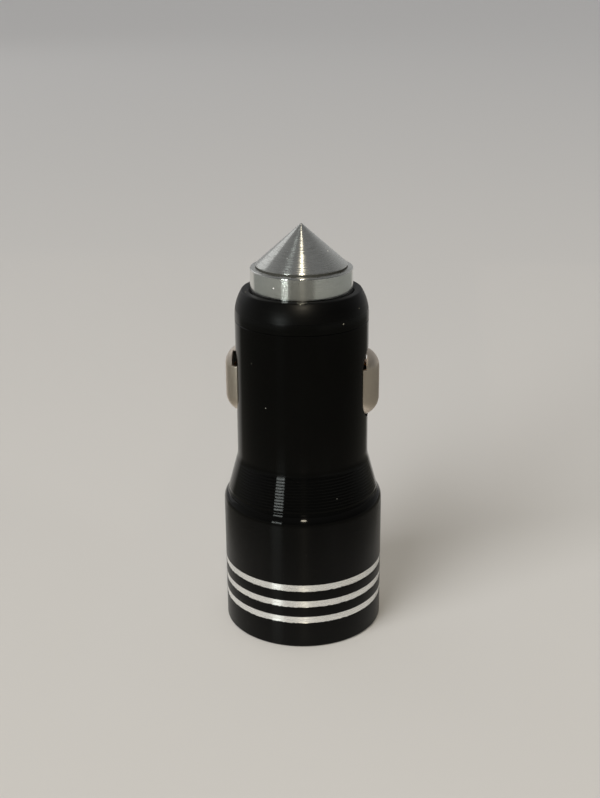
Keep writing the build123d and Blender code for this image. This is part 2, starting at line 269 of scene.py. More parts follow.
def neckOutline():
    # A relief at the neck's foot, turning grooves up its taper, and a soft bend into the barrel
    neck = shell["neckTop"] - shell["shoulderTop"]
    slope = (shoulderRadius - barrelRadius) / neck
    relief = shell["grooveFrom"] - shell["reliefLow"]
    sweep = shell["neckSweep"]
    perGroove = shell["grooveSteps"]
    steps = round(neck / shell["groovePitch"]) * perGroove
    points = []
    for step in range(1, steps + 1):
        height = shell["shoulderTop"] + neck * step / steps
        if height >= shell["neckTop"] - sweep:
            break
        share = (height - shell["reliefLow"]) / relief
        if share > 1:
            place = step % perGroove / perGroove
            # A scallop left by the tool's round nose
            groove = shell["grooveDepth"] * 4 * place * (1 - place)
        else:
            groove = shell["reliefDepth"] * (1 - math.cos(2 * math.pi * max(share, 0))) / 2
        points.append((barrelRadius + slope * (shell["neckTop"] - height) - groove, height))
    for step in range(shell["arcSteps"] + 1):
        t = step / shell["arcSteps"]
        points.append((barrelRadius + slope * sweep * (1 - t) ** 2, shell["neckTop"] + sweep * (2 * t - 1)))
    return points


def barrelOutline():
    seam = shell["seamEdge"]
    return [
        (barrelRadius, barrelTop - seam),
        (barrelRadius - seam, barrelTop),
        (shell["barrelBore"], barrelTop),
    ]


shellOutline = headOutline() + neckOutline() + barrelOutline()
blackShell = turnPiece("black_shell", shellOutline, shell["around"], closed=True)

# The slots' cutter runs out past both sides of the barrel
slotSize = (3 * headRadius, shell["slotWidth"], shell["slotLength"])
slotCutter = addBlock((0, 0, clipLevel), slotSize)
bpy.ops.object.mode_set(mode="EDIT")
bpy.ops.mesh.select_all(action="DESELECT")
bpy.ops.object.mode_set(mode="OBJECT")
for edge in slotCutter.data.edges:
    ends = [slotCutter.data.vertices[index].co for index in edge.vertices]
    edge.select = abs(ends[0].x - ends[1].x) > headRadius * mm
bpy.ops.object.mode_set(mode="EDIT")
bpy.ops.mesh.bevel(offset=shell["slotCorner"] * mm, segments=shell["slotSteps"])
bpy.ops.object.mode_set(mode="OBJECT")
cutAway(blackShell, slotCutter)
applyAll(blackShell)
bpy.data.objects.remove(slotCutter)
smoothPiece(blackShell)
endPiece(blackShell, "housing", "shell_black", "outer_shell")
print("black shell turned,", len(blackShell.data.polygons), "faces")


# Nose ring, pressed into the barrel's end round the tip

ring = {
    "around": 160,
    "side": 0.7,
    "crown": 1.15,
    "crownRound": 0.3,
    "crownSteps": 15,
    "wall": 2.35,
    "boreEdge": 0.3,
    "boreRound": 0.08,
    "lip": 2.4,
    "tipFlangeRoom": 0.09,
    "spigot": 9.07,
    "seamEdge": 0.08,
}
ringTop = ringHigh[2]
ringBore = barrelRadius - ring["wall"]
ringLand = barrelRadius - ring["crown"]
spigotBore = tipHigh[0] + ring["tipFlangeRoom"]


def ringOutline():
    seam = ring["seamEdge"]
    points = [
        (spigotBore, ringLow[2]),
        (ring["spigot"], ringLow[2]),
        (ring["spigot"], barrelTop),
        (barrelRadius - seam, barrelTop),
        (barrelRadius, barrelTop + seam),
    ]
    foot = barrelTop + ring["side"]
    crown = leanIn(barrelRadius, foot, ring["crown"], ringTop - foot, ring["crownSteps"])
    corners = [(*point, 0) for point in crown[:-1]]
    corners += [
        (ringLand, ringTop, ring["crownRound"]),
        (ringBore + ring["boreEdge"], ringTop, ring["boreRound"]),
        (ringBore, ringTop - ring["boreEdge"], ring["boreRound"]),
        (ringBore, ringTop - ring["lip"], 0),
        (spigotBore, ringTop - ring["lip"], 0),
    ]
    return points + softOutline(corners)


noseRing = turnPiece("nose_ring_moulded", ringOutline(), ring["around"], closed=True)
smoothPiece(noseRing)
endPiece(noseRing, "housing", "nose_black", "nose_ring")
print("nose ring turned,", len(noseRing.data.polygons), "faces")


# Pointed tip, turned from bar

tip = {
    "around": 160,
    "pocket": 4.0,
    "pocketDepth": 6.0,
    "pocketRound": 0.1,
    "flange": 1.2,
    "flangeStep": 0.55,
    "flangeRound": 0.08,
    "stand": 3.35,
    "rimRound": 0.22,
    "ledge": 0.85,
    "ledgeRound": 0.03,
    "stepRound": 0.2,
    "cone": 6.6,
    "coneInset": 0.35,
    "point": 0.22,
    "pointSteps": 5,
    "pole": 0.004,  # the last ring's radius, before it is merged
    # how near the cone's foot the step's faces must be to take the painted shade of the groove
    "footShade": 0.012,
}
tipRadius = tipHigh[0] - tip["flangeStep"]
tipRim = ringTop + tip["stand"]
coneRadius = tipRadius - tip["coneInset"]
coneFoot = tipRadius - tip["ledge"]


def tipOutline():
    slope = math.atan2(coneRadius, tip["cone"])
    ballMiddle = tipRim + tip["cone"] - tip["point"] / math.sin(slope)
    foot = tipLow[2]
    stepTop = tipRim + (coneRadius - coneFoot) / math.tan(slope)
    touch = (tip["point"] * math.cos(slope), ballMiddle + tip["point"] * math.sin(slope))
    corners = [
        (tip["pocket"], foot, tip["pocketRound"]),
        (tipHigh[0], foot, tip["flangeRound"]),
        (tipHigh[0], foot + tip["flange"], tip["flangeRound"]),
        (tipRadius, foot + tip["flange"], 0),
        (tipRadius, tipRim, tip["rimRound"]),
        (coneFoot, tipRim, tip["ledgeRound"]),
        (coneFoot, stepTop, tip["stepRound"]),
        (*touch, 0),
    ]
    points = [(tip["pocket"], foot + tip["pocketDepth"])] + softOutline(corners)
    for step in range(1, tip["pointSteps"]):
        angle = slope + (math.pi / 2 - slope) * step / tip["pointSteps"]
        points.append((tip["point"] * math.cos(angle), ballMiddle + tip["point"] * math.sin(angle)))
    return points + [(tip["pole"], ballMiddle + tip["point"])]


hammerTip = turnPiece("hammer_tip_turned", tipOutline(), tip["around"], closed=False)
smoothPiece(hammerTip)
endPiece(hammerTip, "tip", "tip_bare", "hammer_tip")
print("tip turned,", len(hammerTip.data.polygons), "faces")


# Side contacts, pressed from sheet, and the springs behind them and behind the tip

contact = {
    "around": 72,
    "domeSteps": 12,
    "pole": 0.004,  # as on the tip
    "weld": 0.001,
    "sheet": 0.45,
    "hook": 0.7,
    "sideHook": 0.1,
    "edge": 0.09,
    "edgeSteps": 2,
    "sharp": 50,
    "smooth": 40,
    "windowRise": 3.65,
    "windowHeight": 2.1,
    "windowReach": 1.3,
    "wideReach": 1.75,
    "windowDepth": 0.8,  # share of the contact's round, to each side of its flank
}
leaf = {"rounding": 0.04, "keep": 0.7}
coil = {
    "wire": 0.6,
    "turns": 4,
    "turnSteps": 40,
    "around": 12,
    "weld": 0.001,
    "smooth": 40,
    "keep": 0.7,
    "seat": 0.05,
}

contactRound = clipHigh[1]
contactEnd = clipHigh[2] - clipLevel - contact["hook"] - contactRound
contactMiddle = clipHigh[0] - contactRound


def contactSkin(name, sign):
    # Half a capsule with straight walls behind it and a rim turned out inside the barrel
    outline = []
    steps = contact["domeSteps"]
    for end, start in ((-1, -90), (1, 0)):
        for step in range(steps + 1):
            angle = math.radians(start + 90 * step / steps)
            radius = max(contactRound * math.cos(angle), contact["pole"])
            outline.append((radius, end * contactEnd + contactRound * math.sin(angle)))
    piece = turnPiece(name, outline, contact["around"], closed=False)
    bpy.ops.object.mode_set(mode="EDIT")
    bpy.ops.mesh.select_all(action="SELECT")
    bpy.ops.transform.translate(value=(sign * contactMiddle * mm, 0, clipLevel * mm))
    bpy.ops.mesh.bisect(plane_co=(sign * contactMiddle * mm, 0, 0), plane_no=(sign, 0, 0), clear_inner=True)
    bpy.ops.mesh.select_all(action="DESELECT")
    bpy.ops.mesh.select_non_manifold()
    wall = contactMiddle - clipLow[0] - contact["sheet"]
    bpy.ops.mesh.extrude_edges_move(TRANSFORM_OT_translate={"value": (-sign * wall * mm, 0, 0)})
    bpy.ops.mesh.extrude_edges_move(TRANSFORM_OT_translate={"value": (0, 0, 0)})
    wider = 1 + contact["sideHook"] / contactRound
    longer = 1 + contact["hook"] / (contactEnd + contactRound)
    bpy.ops.transform.resize(value=(1, wider, longer), center_override=(0, 0, clipLevel * mm))
    bpy.ops.mesh.select_all(action="SELECT")
    bpy.ops.mesh.remove_doubles(threshold=contact["weld"] * mm)
    bpy.ops.mesh.normals_make_consistent(inside=False)
    bpy.ops.object.mode_set(mode="OBJECT")
    front = max(piece.data.polygons, key=lambda face: sign * face.center.x)
    if front.normal.x * sign < 0:
        bpy.ops.object.mode_set(mode="EDIT")
        bpy.ops.mesh.flip_normals()
        bpy.ops.object.mode_set(mode="OBJECT")
    return piece


def contactDome(name, sign):
    # The skin as a sheet, with a window through each flank
    piece = contactSkin(name, sign)
    sheet = piece.modifiers.new("sheet", "SOLIDIFY")
    sheet.thickness = contact["sheet"] * mm
    sheet.offset = -1  # inwards
    cutters = []
    for flank, reach in ((sign, contact["wideReach"]), (-sign, contact["windowReach"])):
        place = (sign * contactMiddle, flank * contactRound, clipLevel + contact["windowRise"])
        size = (2 * reach, 2 * contact["windowDepth"] * contactRound, contact["windowHeight"])
        cutters.append(addBlock(place, size))
        cutAway(piece, cutters[-1])
    roundEdges(piece, contact["edge"], contact["edgeSteps"], contact["sharp"])
    applyAll(piece)
    for cutter in cutters:
        bpy.data.objects.remove(cutter)
    smoothPiece(piece, contact["smooth"])
    return piece


sideContacts = []
leafSprings = []
for side, sign in (("left", -1), ("right", 1)):
    sideContact = contactDome("side_contact_" + side, sign)
    sideContacts.append(endPiece(sideContact, "clip_" + side, "clip_nickel", "ground_clip_" + side))
    leafSpring = softCopy("ground_spring_" + side, "leaf_spring_" + side, leaf["rounding"])
    endPiece(leafSpring, "housing", "leaf_bronze", "ground_spring_" + side)
    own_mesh(leafSpring)
    leafSprings.append(leafSpring)

bpy.ops.object.select_all(action="DESELECT")
coilRadius = coilHigh[0] - coil["wire"] / 2
coilLength = coilHigh[2] - coilLow[2] - coil["wire"]
bpy.ops.mesh.primitive_circle_add(
    vertices=coil["around"],
    radius=coil["wire"] / 2 * mm,
    location=(coilRadius * mm, 0, (coilLow[2] + coil["wire"] / 2) * mm),
    rotation=(math.pi / 2, 0, 0),
)
tipSpring = bpy.context.object
tipSpring.name = "tip_spring_coil"
bpy.ops.object.transform_apply(location=True, rotation=True, scale=True)
screw = tipSpring.modifiers.new("turns", "SCREW")
screw.axis = "Z"
screw.screw_offset = coilLength / coil["turns"] * mm
screw.iterations = coil["turns"]
screw.steps = screw.render_steps = coil["turnSteps"]
applyAll(tipSpring)
bpy.ops.object.mode_set(mode="EDIT")
bpy.ops.mesh.select_all(action="SELECT")
bpy.ops.mesh.remove_doubles(threshold=coil["weld"] * mm)
bpy.ops.mesh.select_all(action="DESELECT")
bpy.ops.mesh.select_non_manifold()
bpy.ops.mesh.edge_face_add()
bpy.ops.mesh.select_all(action="SELECT")
bpy.ops.mesh.normals_make_consistent(inside=False)
bpy.ops.object.mode_set(mode="OBJECT")
smoothPiece(tipSpring, coil["smooth"])
endPiece(tipSpring, "housing", "spring_steel", "tip_spring")
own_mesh(tipSpring)
print("contacts and springs made")


# Socket face, on the side that the charger stands on

socketFace = {"plateRound": 0.12, "plateSteps": 3, "mouthRound": 0.05}

facePlate = softCopy("face_plate", "face_plate_moulded", socketFace["plateRound"], socketFace["plateSteps"])
endPiece(facePlate, "housing", "plate_black", "face_plate")
usbMouths = []
for place in ("front", "rear"):
    usbMouth = softCopy("usb_shell_" + place, "usb_mouth_" + place, socketFace["mouthRound"])
    usbMouths.append(endPiece(usbMouth, "housing", "socket_steel", "usb_shell_" + place))
print("socket face made")


# Material helpers

def fromHex(code):
    # sRGB hex to the linear colour that a shader socket takes
    parts = [int(code[place:place + 2], 16) / 255 for place in (1, 3, 5)]
    return tuple(p / 12.92 if p <= 0.04045 else ((p + 0.055) / 1.055) ** 2.4 for p in parts) + (1.0,)


def perMm(size):
    # Texture scale whose cells are this many millimetres, on Object coordinates in metres
    return 1 / (size * mm)


def fillSockets(node, inputs):
    # A value is set on its socket, and another node's output is linked to it
    for name, value in inputs.items():
        if isinstance(value, bpy.types.NodeSocket):
            node.id_data.links.new(value, node.inputs[name])
        else:
            node.inputs[name].default_value = value


def addNode(tree, kind, inputs=None, **settings):
    # The kind is the node's type without the ShaderNode in front
    node = tree.nodes.new("ShaderNode" + kind)
    for name, value in settings.items():
        setattr(node, name, value)
    fillSockets(node, inputs or {})
    return node


def startMaterial(name):
    material = bpy.data.materials.new(name)
    material.use_nodes = True
    tree = material.node_tree
    place = addNode(tree, "TexCoord").outputs["Object"]
    return material, tree, tree.nodes["Principled BSDF"], place


def toolLines(tree, place, lineMm, stretch, detail, roughness=0.5):
    # Fine lines, drawn out along the ways where the stretch is small
    drawnOut = addNode(tree, "Mapping", {"Vector": place, "Scale": stretch}).outputs[0]
    inputs = {"Vector": drawnOut, "Scale": perMm(lineMm), "Detail": detail, "Roughness": roughness}
    return addNode(tree, "TexNoise", inputs).outputs["Fac"]


def dustSpecks(tree, place, look):
    # A round speck at the heart of each cell, left out of the share of cells that are clean
    cells = addNode(tree, "TexVoronoi", {"Vector": place, "Scale": perMm(look["dustMm"])})
    near = addNode(tree, "Math", {0: cells.outputs["Distance"], 1: look["speck"]}, operation="LESS_THAN")
    pick = addNode(tree, "SeparateColor", {"Color": cells.outputs["Color"]})
    some = addNode(tree, "Math", {0: pick.outputs["Red"], 1: look["clean"]}, operation="GREATER_THAN")
    return addNode(tree, "Math", {0: near.outputs[0], 1: some.outputs[0]}, operation="MULTIPLY").outputs[0]


def unevenGloss(tree, roughness, lines, spread):
    # The roughness goes up and down by this share from line to line
    share = addNode(tree, "MapRange", {"Value": lines, "To Min": 1 - spread, "To Max": 1 + spread})
    return addNode(tree, "Math", {0: roughness, 1: share.outputs[0]}, operation="MULTIPLY").outputs[0]


def turnedGloss(tree, shader, amount):
    # Lines that run round the axis draw a highlight out along it
    around = addNode(tree, "Tangent", direction_type="RADIAL", axis="Z")
    quarterTurn = 0.25
    fillSockets(
        shader,
        {"Tangent": around.outputs[0], "Anisotropic": amount, "Anisotropic Rotation": quarterTurn},
    )


# Black anodised aluminium, turned before it was dyed: almost black face on, mirror grey at the limbs, with
# a soft upright streak where the turning lines catch the window, and a few dust specks. The lines are too
# fine to show, so they are drawn coarser

anodised = {
    "dark": "#030303",
    "light": "#060605",
    "cloudMm": 6.0,
    "dust": "#6e6d66",
    "dustMm": 2.2,
    "speck": 0.045,
    "clean": 0.8,
    "lineMm": 0.12,
    "stretch": (0.02, 0.02, 1),
    "uneven": 0.2,
    "bump": 0.06,
    "bumpMm": 0.02,
    "ior": 1.24,
    # Roughness at heights: coarse on the head, polished on the neck, a duller foot to the barrel
    "gloss": ((20.5, 0.25), (20.9, 0.1), (28.3, 0.1), (28.7, 0.19), (33.5, 0.1)),
}


def blackAnodised():
    material, tree, shader, place = startMaterial("black_anodised_aluminium")
    cloud = addNode(tree, "TexNoise", {"Vector": place, "Scale": perMm(anodised["cloudMm"]), "Detail": 3.0})
    dye = addNode(
        tree, "Mix",
        {0: cloud.outputs["Fac"], 6: fromHex(anodised["dark"]), 7: fromHex(anodised["light"])},
        data_type="RGBA",
    )
    speck = dustSpecks(tree, place, anodised)
    dusty = addNode(
        tree, "Mix", {0: speck, 6: dye.outputs[2], 7: fromHex(anodised["dust"])}, data_type="RGBA"
    )
    height = addNode(tree, "SeparateXYZ", {"Vector": place}).outputs["Z"]
    along = addNode(tree, "MapRange", {"Value": height, "From Max": barrelTop * mm})
    gloss = addNode(tree, "ValToRGB", {"Fac": along.outputs[0]})
    stops = gloss.color_ramp.elements
    while len(stops) < len(anodised["gloss"]):
        stops.new(0.5)  # moved to its place below
    for stop, (level, roughness) in zip(stops, anodised["gloss"]):
        stop.position = level / barrelTop
        stop.color = (roughness, roughness, roughness, 1)
    lines = toolLines(tree, place, anodised["lineMm"], anodised["stretch"], detail=2.0)
    bump = addNode(
        tree, "Bump", {"Height": lines, "Strength": anodised["bump"], "Distance": anodised["bumpMm"] * mm}
    )
    inputs = {
        "Base Color": dusty.outputs[2],
        "Roughness": unevenGloss(tree, gloss.outputs[0], lines, anodised["uneven"]),
        "Normal": bump.outputs[0],
        "IOR": anodised["ior"],
    }
    fillSockets(shader, inputs)
    turnedGloss(tree, shader, 1.0)
    return material


# Bare aluminium, cut bright through the dye: matt silver bands, ragged and dark where the cutter ran out

brightCut = {
    "silver": "#fefefc",
    "grey": "#f6f6f3",
    "black": "#0d0d0b",
    "lineMm": 0.1,
    "stretch": (0.05, 0.05, 1),
    "lineShare": (0.4, 0.7),
    "roughness": (0.2, 0.36),
    "metallic": 0.9,
    "ragMm": 0.4,
    "ragDepthMm": 0.18,
    "ragShare": (0.45, 0.75),
}


def brightCutBand():
    material, tree, shader, place = startMaterial("bright_cut_aluminium")
    lines = toolLines(tree, place, brightCut["lineMm"], brightCut["stretch"], detail=2.0)
    metal = addNode(
        tree, "Mix",
        {0: lines, 6: fromHex(brightCut["grey"]), 7: fromHex(brightCut["silver"])},
        data_type="RGBA",
    )
    # Height above the lower edge of the band, the same for all bands
    height = addNode(tree, "SeparateXYZ", {"Vector": place}).outputs["Z"]
    low = (shell["bandLow"] - shell["bandWidth"] / 2) * mm
    fromLow = addNode(tree, "Math", {0: height, 1: low}, operation="SUBTRACT").outputs[0]
    above = addNode(tree, "Math", {0: fromLow, 1: shell["bandPitch"] * mm}, operation="FLOORED_MODULO")
    rag = addNode(
        tree, "TexNoise",
        {"Vector": place, "Scale": perMm(brightCut["ragMm"]), "Detail": 4.0, "Roughness": 0.7},
    )
    least, most = brightCut["ragShare"]
    reach = addNode(
        tree, "MapRange",
        {
            "Value": rag.outputs["Fac"], "From Min": least, "From Max": most,
            "To Min": 0.0, "To Max": brightCut["ragDepthMm"] * mm,
        },
    )
    left = addNode(
        tree, "Math", {0: above.outputs[0], 1: reach.outputs[0]}, operation="LESS_THAN"
    ).outputs[0]
    colour = addNode(
        tree, "Mix", {0: left, 6: metal.outputs[2], 7: fromHex(brightCut["black"])}, data_type="RGBA"
    )
    bare = addNode(tree, "MapRange", {"Value": left, "To Min": brightCut["metallic"], "To Max": 0.0})
    least, most = brightCut["lineShare"]
    smooth, coarse = brightCut["roughness"]
    rough = addNode(
        tree, "MapRange",
        {"Value": lines, "From Min": least, "From Max": most, "To Min": smooth, "To Max": coarse},
    )
    inputs = {
        "Base Color": colour.outputs[2],
        "Metallic": bare.outputs[0],
        "Roughness": rough.outputs[0],
    }
    fillSockets(shader, inputs)
    turnedGloss(tree, shader, 1.0)
    return material


# Turned bare aluminium: grey with fine rings round the axis and a sharp bright line up the cone

turnedBar = {
    "dark": "#dcddd9",
    "light": "#ecede9",
    "dust": "#f4f4f0",
    "dustMm": 1.5,
    "speck": 0.09,
    "clean": 0.7,
    "stretch": (0.03, 0.03, 1),
    "ringMm": 0.16,
    "ringBump": 0.04,
    "bumpMm": 0.02,
    "fineMm": 0.04,
    "fineShare": (0.3, 0.7),
    "roughness": (0.12, 0.42),
    "sideFinish": 0.45,  # the cylinder's roughness, as a share of the cone's
    "sideFade": 0.1,
}


def turnedAluminium():
    material, tree, shader, place = startMaterial("turned_aluminium")
    rings = toolLines(tree, place, turnedBar["ringMm"], turnedBar["stretch"], detail=3.0, roughness=0.6)
    metal = addNode(
        tree, "Mix",
        {0: rings, 6: fromHex(turnedBar["dark"]), 7: fromHex(turnedBar["light"])},
        data_type="RGBA",
    )
    speck = dustSpecks(tree, place, turnedBar)
    colour = addNode(
        tree, "Mix", {0: speck, 6: metal.outputs[2], 7: fromHex(turnedBar["dust"])}, data_type="RGBA"
    )
    bare = addNode(tree, "Math", {0: 1.0, 1: speck}, operation="SUBTRACT")
    fine = toolLines(tree, place, turnedBar["fineMm"], turnedBar["stretch"], detail=1.0)
    least, most = turnedBar["fineShare"]
    smooth, coarse = turnedBar["roughness"]
    cut = addNode(
        tree, "MapRange",
        {"Value": fine, "From Min": least, "From Max": most, "To Min": smooth, "To Max": coarse},
    )
    height = addNode(tree, "SeparateXYZ", {"Vector": place}).outputs["Z"]
    finish = addNode(
        tree, "MapRange",
        {
            "Value": height, "From Min": (tipRim - turnedBar["sideFade"]) * mm, "From Max": tipRim * mm,
            "To Min": turnedBar["sideFinish"], "To Max": 1.0,
        },
    ).outputs[0]
    rough = addNode(tree, "Math", {0: cut.outputs[0], 1: finish}, operation="MULTIPLY")
    depth = addNode(
        tree, "MapRange",
        {
            "Value": finish, "From Min": turnedBar["sideFinish"],
            "To Min": 0.0, "To Max": turnedBar["ringBump"],
        },
    )
    bump = addNode(
        tree, "Bump", {"Height": rings, "Strength": depth.outputs[0], "Distance": turnedBar["bumpMm"] * mm}
    )
    inputs = {
        "Base Color": colour.outputs[2],
        "Metallic": bare.outputs[0],
        "Roughness": rough.outputs[0],
        "Normal": bump.outputs[0],
    }
    fillSockets(shader, inputs)
    turnedGloss(tree, shader, 1.0)
    return material


# Black nylon, turned smooth at the side and dulled over its crown: a soft smear of light up there, black
# below, and dust

nylon = {
    "dark": "#030303",
    "light": "#060605",
    "dust": "#a8a595",
    "dustMm": 1.0,
    "speck": 0.1,
    "clean": 0.8,
    "lineMm": 0.2,
    "stretch": (0.04, 0.04, 1),
    "bump": 0.15,
    "bumpMm": 0.03,
    "rubFrom": 1.7,
    "rubFade": 0.15,
    "roughness": (0.2, 0.37),
    "uneven": 0.2,
    "turned": 0.2,
    "ior": 1.24,
}


def satinNylon():
    material, tree, shader, place = startMaterial("satin_black_nylon")
    lines = toolLines(tree, place, nylon["lineMm"], nylon["stretch"], detail=3.0)
    colour = addNode(
        tree, "Mix", {0: lines, 6: fromHex(nylon["dark"]), 7: fromHex(nylon["light"])}, data_type="RGBA"
    )
    speck = dustSpecks(tree, place, nylon)
    dusty = addNode(
        tree, "Mix", {0: speck, 6: colour.outputs[2], 7: fromHex(nylon["dust"])}, data_type="RGBA"
    )
    height = addNode(tree, "SeparateXYZ", {"Vector": place}).outputs["Z"]
    edge = barrelTop + nylon["rubFrom"]
    smooth, coarse = nylon["roughness"]
    rubbed = addNode(
        tree, "MapRange",
        {
            "Value": height,
            "From Min": (edge - nylon["rubFade"]) * mm, "From Max": (edge + nylon["rubFade"]) * mm,
            "To Min": smooth, "To Max": coarse,
        },
    )
    bump = addNode(
        tree, "Bump", {"Height": lines, "Strength": nylon["bump"], "Distance": nylon["bumpMm"] * mm}
    )
    inputs = {
        "Base Color": dusty.outputs[2],
        "Roughness": unevenGloss(tree, rubbed.outputs[0], lines, nylon["uneven"]),
        "Normal": bump.outputs[0],
        "IOR": nylon["ior"],
    }
    fillSockets(shader, inputs)
    turnedGloss(tree, shader, nylon["turned"])
    return material


# Moulded plastics, and fired and painted parts: an even tone with a fine grain that dulls the gloss

moulded = {"cloudGrains": 8, "uneven": 0.08, "bump": 0.2, "bumpGrains": 0.05, "ior": 1.5}


def mouldedPlastic(name, dark, light, grainMm, roughness):
    material, tree, shader, place = startMaterial(name)
    cloudMm = moulded["cloudGrains"] * grainMm
    cloud = addNode(
        tree, "TexNoise", {"Vector": place, "Scale": perMm(cloudMm), "Detail": 3.0}
    ).outputs["Fac"]
    colour = addNode(tree, "Mix", {0: cloud, 6: fromHex(dark), 7: fromHex(light)}, data_type="RGBA")
    rough = addNode(
        tree, "MapRange",
        {"Value": cloud, "To Min": roughness - moulded["uneven"], "To Max": roughness + moulded["uneven"]},
    )
    grain = addNode(
        tree, "TexNoise", {"Vector": place, "Scale": perMm(grainMm), "Detail": 2.0}
    ).outputs["Fac"]
    depth = moulded["bumpGrains"] * grainMm * mm
    bump = addNode(tree, "Bump", {"Height": grain, "Strength": moulded["bump"], "Distance": depth})
    inputs = {
        "Base Color": colour.outputs[2],
        "Roughness": rough.outputs[0],
        "Normal": bump.outputs[0],
        "IOR": moulded["ior"],
    }
    fillSockets(shader, inputs)
    return material


# Drawn, plated and stamped metals: a base tone with fine lines along the way they were drawn or rolled

drawn = {"cloudLines": 14, "lightFrom": 0.5, "uneven": 0.07}


def drawnMetal(name, dark, light, lineMm, stretch, roughness):
    material, tree, shader, place = startMaterial(name)
    lines = toolLines(tree, place, lineMm, stretch, detail=3.0)
    cloudMm = drawn["cloudLines"] * lineMm
    cloud = addNode(tree, "TexNoise", {"Vector": place, "Scale": perMm(cloudMm), "Detail": 2.0})
    both = addNode(tree, "Math", {0: lines, 1: cloud.outputs["Fac"]}, operation="MULTIPLY")
    share = addNode(tree, "MapRange", {"Value": both.outputs[0], "From Max": drawn["lightFrom"]})
    colour = addNode(
        tree, "Mix", {0: share.outputs[0], 6: fromHex(dark), 7: fromHex(light)}, data_type="RGBA"
    )
    rough = addNode(
        tree, "MapRange",
        {"Value": lines, "To Min": roughness - drawn["uneven"], "To Max": roughness + drawn["uneven"]},
    )
    fillSockets(
        shader, {"Base Color": colour.outputs[2], "Roughness": rough.outputs[0], "Metallic": 1.0}
    )
    return material


# Clear polycarbonate of the indicator: shows the light source behind it, softly

polycarbonate = {"tint": "#dde4e8", "hazeMm": 0.5, "roughness": (0.08, 0.2), "ior": 1.585, "clear": 0.85}


def clearPolycarbonate():
    material, tree, shader, place = startMaterial("clear_polycarbonate")
    haze = addNode(
        tree, "TexNoise", {"Vector": place, "Scale": perMm(polycarbonate["hazeMm"]), "Detail": 2.0}
    )
    smooth, coarse = polycarbonate["roughness"]
    rough = addNode(tree, "MapRange", {"Value": haze.outputs["Fac"], "To Min": smooth, "To Max": coarse})
    inputs = {
        "Base Color": fromHex(polycarbonate["tint"]),
        "Roughness": rough.outputs[0],
        "IOR": polycarbonate["ior"],
        "Transmission Weight": polycarbonate["clear"],
    }
    fillSockets(shader, inputs)
    return material


def dress(piece, *materials):
    piece.data.materials.clear()
    for material in materials:
        piece.data.materials.append(material)


finishes = {
    # brass seat of the coil, turned and left bright
    "tip_contact": drawnMetal("turned_brass", "#a8853c", "#d0ab58", 0.2, (1, 1, 1), 0.3),
    # pale grey carrier that the board slides into
    "core_frame": mouldedPlastic("moulded_grey_abs", "#83858a", "#8f9194", 0.12, 0.55),
    # green solder mask over glass cloth
    "circuit_board": mouldedPlastic("green_solder_mask", "#12502a", "#1c6b38", 0.5, 0.35),
    # white tongues of the sockets
    "usb_insulator_front": mouldedPlastic("moulded_white_pbt", "#dcdad2", "#e9e7e0", 0.12, 0.5),
    # gold flash over the contact strips
    "usb_contacts_front": drawnMetal("gold_plated_strip", "#c29a45", "#e0bd6c", 0.15, (1, 1, 0.1), 0.26),
    "indicator_lens": clearPolycarbonate(),
    # milky epoxy of the light source
    "indicator_led": mouldedPlastic("milky_epoxy", "#d6d2b4", "#e6e3cc", 0.2, 0.4),
    # aluminium cans, drawn deep
    "input_capacitor": drawnMetal("drawn_aluminium_can", "#9fa3a7", "#c3c6c9", 0.15, (1, 1, 0.05), 0.36),
    # sintered ferrite, dull and grainy
    "choke_core": mouldedPlastic("sintered_ferrite", "#242322", "#33302e", 0.25, 0.75),
    # enamelled copper, wound in close turns
    "choke_winding": drawnMetal("enamelled_copper", "#8c4a22", "#c8794a", 0.3, (0.05, 1, 0.05), 0.32),
    # black epoxy of the chips
    "regulator_chip": mouldedPlastic("moulded_black_epoxy", "#18181a", "#232325", 0.12, 0.62),
    # tinned leads
    "regulator_leads": drawnMetal("tinned_copper", "#a2a5a6", "#c6c9ca", 0.15, (1, 0.2, 1), 0.38),
    # pale and tan fired ceramic of the small parts
    "input_fuse": mouldedPlastic("pale_ceramic", "#c4bba9", "#d6cdbc", 0.2, 0.5),
    "chip_capacitors": mouldedPlastic("tan_ceramic", "#a3845c", "#bd9d72", 0.2, 0.5),
}
alike = {
    "usb_insulator_rear": "usb_insulator_front",
    "usb_contacts_rear": "usb_contacts_front",
    "output_capacitor": "input_capacitor",
    "rectifier_diode": "regulator_chip",
    "chip_resistors": "regulator_chip",
}
for node, finish in finishes.items():
    dress(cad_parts[node], finish)
for node, other in alike.items():
    dress(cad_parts[node], finishes[other])

dress(blackShell, blackAnodised(), brightCutBand())
for face in blackShell.data.polygons:
    reach = math.hypot(face.center.x, face.center.y) / mm
    bare = abs(reach - bandFloor) < shell["bandDepth"] / 4 and face.center.z < shell["headHeight"] * mm
    face.material_index = 1 if bare else 0
dress(noseRing, satinNylon())
# painted shade: a dark finish on the upright faces of the step at the cone's foot, where the corner lies in
# shadow
footShade = mouldedPlastic("painted_groove_shade", "#2c2c29", "#3c3c38", 0.1, 0.7)
dress(hammerTip, turnedAluminium(), footShade)
for face in hammerTip.data.polygons:
    reach = math.hypot(face.center.x, face.center.y) / mm
    inFootShade = abs(reach - coneFoot) < tip["footShade"] and face.center.z > tipRim * mm
    face.material_index = 1 if inFootShade else 0
# nickel plate over the pressed domes, warm grey with a wide soft gloss
nickel = drawnMetal("nickel_plated_steel", "#dfd3c6", "#ece1d3", 0.12, (1, 1, 0.05), 0.4)
for piece in sideContacts:
    dress(piece, nickel)
# rolled bronze strip of the leaf springs, brown with lines along it
bronze = drawnMetal("rolled_bronze", "#8f5f36", "#b98452", 0.12, (1, 1, 0.08), 0.34)
for piece in leafSprings:
    dress(piece, bronze)
# drawn wire of the coil, plain grey
dress(tipSpring, drawnMetal("drawn_spring_steel", "#7f8184", "#a3a6a9", 0.12, (1, 1, 1), 0.3))
# black ABS of the socket face, moulded with a satin grain
dress(facePlate, mouldedPlastic("moulded_black_abs", "#121212", "#1b1b1b", 0.14, 0.5))
